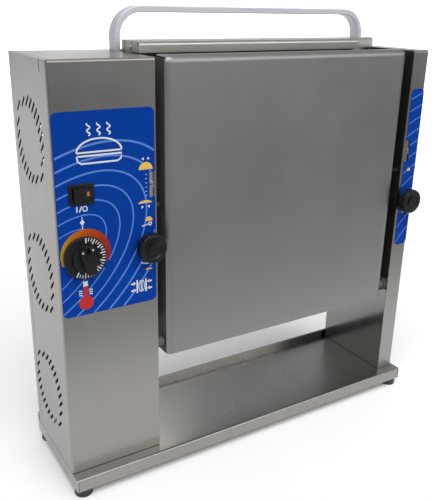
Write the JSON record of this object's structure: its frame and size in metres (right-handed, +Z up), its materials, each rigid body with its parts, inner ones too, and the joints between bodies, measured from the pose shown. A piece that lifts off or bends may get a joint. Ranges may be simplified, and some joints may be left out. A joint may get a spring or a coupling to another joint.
{
  "type": "vertical contact toaster",
  "caption": "Slim upright contact toaster for buns: two steel towers on a tray, a covered conveyor between them, control label, dial, rocker switch and loop handle.",
  "frame": {"origin": "on the floor at the centre of the footprint's bounding box, midway along the base and at mid-depth of the towers", "axes": "+Z up, +X to the right along the row of towers, the controls face -Y"},
  "size_m": [0.5759, 0.1806, 0.6035],
  "materials": {
    "tower_steel": "brushed stainless sheet, satin",
    "rear_steel": "brushed stainless sheet",
    "wall_steel": "polished stainless sheet",
    "tray_steel": "satin stainless sheet",
    "cover_steel": "satin stainless sheet",
    "cap_steel": "satin stainless sheet",
    "handle_metal": "satin bar",
    "label_blue": "printed overlay, satin",
    "control_black": "moulded black, satin",
    "pilot_amber": "translucent amber",
    "foot_rubber": "matte rubber",
    "gland_black": "moulded nylon",
    "frame_black": "black coated steel",
    "platen_alloy": "machined casting",
    "release_film": "coated fabric sheet",
    "belt_silicone": "silicone belt",
    "plate_steel": "plain sheet",
    "shaft_steel": "turned steel",
    "slide_steel": "bright steel",
    "gear_steel": "hobbed steel",
    "bearing_bronze": "sintered bronze",
    "end_block_board": "insulating board",
    "element_sheath": "heat-tinted sheath",
    "capillary_copper": "drawn copper",
    "thermostat_case": "plated case",
    "motor_paint": "grey paint",
    "screw_steel": "bright screws"
  },
  "bodies": {
    "frame": {"base_tray": "tray_steel", "feet": "foot_rubber", "left_tower_shell": "tower_steel", "left_tower_top": "tower_steel", "left_inner_wall": "wall_steel", "left_rear_panel": "rear_steel", "right_tower_shell": "tower_steel", "right_tower_top": "tower_steel", "right_inner_wall": "wall_steel", "right_rear_panel": "rear_steel", "panel_screws": "screw_steel", "left_label": "label_blue", "right_label": "label_blue", "switch_bezel": "control_black", "thermostat_body": "thermostat_case", "thermostat_capillary": "capillary_copper", "crush_bushings": "bearing_bronze", "carry_handle": "handle_metal", "handle_bolts": "screw_steel", "platen": "platen_alloy", "heating_elements": "element_sheath", "platen_end_blocks": "end_block_board", "release_sheet": "release_film", "platen_cap": "cap_steel", "cap_brackets": "cap_steel", "shaft_bearings": "frame_black", "idler_gear_studs": "shaft_steel", "gearmotor": "motor_paint", "motor_bracket": "motor_paint", "rear_side_plate_left": "frame_black", "rear_side_plate_right": "frame_black", "rear_cross_bars": "frame_black", "rear_pressure_plate": "plate_steel", "rear_belt": "belt_silicone", "cord_gland": "gland_black"},
    "front_conveyor": {"front_side_plate_left": "frame_black", "front_side_plate_right": "frame_black", "front_cross_bars": "frame_black", "front_pressure_plate": "plate_steel", "front_belt": "belt_silicone"},
    "front_cover_body": {"front_cover": "cover_steel"},
    "rear_cover_body": {"rear_cover": "cover_steel"},
    "front_drive": {"front_drive_roller": "shaft_steel", "front_drive_gear": "gear_steel"},
    "rear_drive": {"rear_drive_roller": "shaft_steel", "rear_drive_gear": "gear_steel"},
    "front_idler": {"front_idler_roller": "frame_black"},
    "rear_idler": {"rear_idler_roller": "frame_black"},
    "gear_idler_front": {"idler_gear_front": "gear_steel"},
    "gear_idler_rear": {"idler_gear_rear": "gear_steel"},
    "motor_output": {"motor_pinion": "gear_steel"},
    "power_rocker": {"rocker": "control_black", "pilot_lens": "pilot_amber"},
    "thermostat_knob": {"thermostat_dial": "control_black"},
    "crush_left": {"crush_knob_left": "control_black", "crush_shaft_left": "shaft_steel"},
    "crush_right": {"crush_knob_right": "control_black", "crush_shaft_right": "shaft_steel"},
    "indicator_left": {"crush_slide_left": "slide_steel"},
    "indicator_right": {"crush_slide_right": "slide_steel"}
  },
  "joints": [
    {"name": "crush_tilt", "type": "hinge", "parent": "frame", "child": "front_conveyor", "pos_m": [0.0465, -0.054, 0.182], "axis": [1, 0, 0], "range_deg": [-1, 1]},
    {"name": "front_cover_lift", "type": "slide", "parent": "front_conveyor", "child": "front_cover_body", "axis": [0, 0, 1], "range_m": [0, 0.42]},
    {"name": "rear_cover_lift", "type": "slide", "parent": "frame", "child": "rear_cover_body", "axis": [0, 0, 1], "range_m": [0, 0.03]},
    {"name": "front_drive_spin", "type": "hinge", "parent": "frame", "child": "front_drive", "pos_m": [0.0465, -0.054, 0.182], "axis": [1, 0, 0], "continuous": true},
    {"name": "rear_drive_spin", "type": "hinge", "parent": "frame", "child": "rear_drive", "pos_m": [0.0465, 0.056, 0.182], "axis": [1, 0, 0], "continuous": true},
    {"name": "front_idler_spin", "type": "hinge", "parent": "front_conveyor", "child": "front_idler", "pos_m": [0.0465, -0.054, 0.528], "axis": [1, 0, 0], "continuous": true},
    {"name": "rear_idler_spin", "type": "hinge", "parent": "frame", "child": "rear_idler", "pos_m": [0.0465, 0.056, 0.528], "axis": [1, 0, 0], "continuous": true},
    {"name": "front_gear_spin", "type": "hinge", "parent": "frame", "child": "gear_idler_front", "pos_m": [-0.174, -0.0215, 0.182], "axis": [1, 0, 0], "continuous": true},
    {"name": "rear_gear_spin", "type": "hinge", "parent": "frame", "child": "gear_idler_rear", "pos_m": [-0.174, 0.0235, 0.182], "axis": [1, 0, 0], "continuous": true},
    {"name": "motor_spin", "type": "hinge", "parent": "frame", "child": "motor_output", "pos_m": [-0.174, -0.0215, 0.1495], "axis": [1, 0, 0], "continuous": true},
    {"name": "power_switch", "type": "hinge", "parent": "frame", "child": "power_rocker", "pos_m": [-0.256, -0.0675, 0.4025], "axis": [0, 0, 1], "range_deg": [-16, 0]},
    {"name": "temperature_dial", "type": "hinge", "parent": "frame", "child": "thermostat_knob", "pos_m": [-0.2565, -0.075, 0.327], "axis": [0, -1, 0], "range_deg": [-150, 150]},
    {"name": "crush_adjust_left", "type": "hinge", "parent": "frame", "child": "crush_left", "pos_m": [-0.173, -0.075, 0.3265], "axis": [0, -1, 0], "range_deg": [-90, 90]},
    {"name": "crush_adjust_right", "type": "hinge", "parent": "frame", "child": "crush_right", "pos_m": [0.27, -0.075, 0.3265], "axis": [0, -1, 0], "range_deg": [-90, 90]},
    {"name": "thickness_scale_left", "type": "slide", "parent": "frame", "child": "indicator_left", "axis": [0, 0, 1], "range_m": [-0.01, 0.01]},
    {"name": "thickness_scale_right", "type": "slide", "parent": "frame", "child": "indicator_right", "axis": [0, 0, 1], "range_m": [-0.01, 0.01]}
  ],
  "couplings": [
    {"joint": "rear_drive_spin", "follows": "front_drive_spin", "ratio": -1},
    {"joint": "front_idler_spin", "follows": "front_drive_spin", "ratio": 1},
    {"joint": "rear_idler_spin", "follows": "front_drive_spin", "ratio": -1},
    {"joint": "front_gear_spin", "follows": "front_drive_spin", "ratio": -0.44444},
    {"joint": "rear_gear_spin", "follows": "front_drive_spin", "ratio": 0.44444},
    {"joint": "motor_spin", "follows": "front_drive_spin", "ratio": 1},
    {"joint": "crush_adjust_left", "follows": "crush_tilt", "ratio": 90},
    {"joint": "crush_adjust_right", "follows": "crush_tilt", "ratio": -90},
    {"joint": "thickness_scale_left", "follows": "crush_tilt", "m_per_rad": 0.57296},
    {"joint": "thickness_scale_right", "follows": "crush_tilt", "m_per_rad": 0.57296}
  ]
}
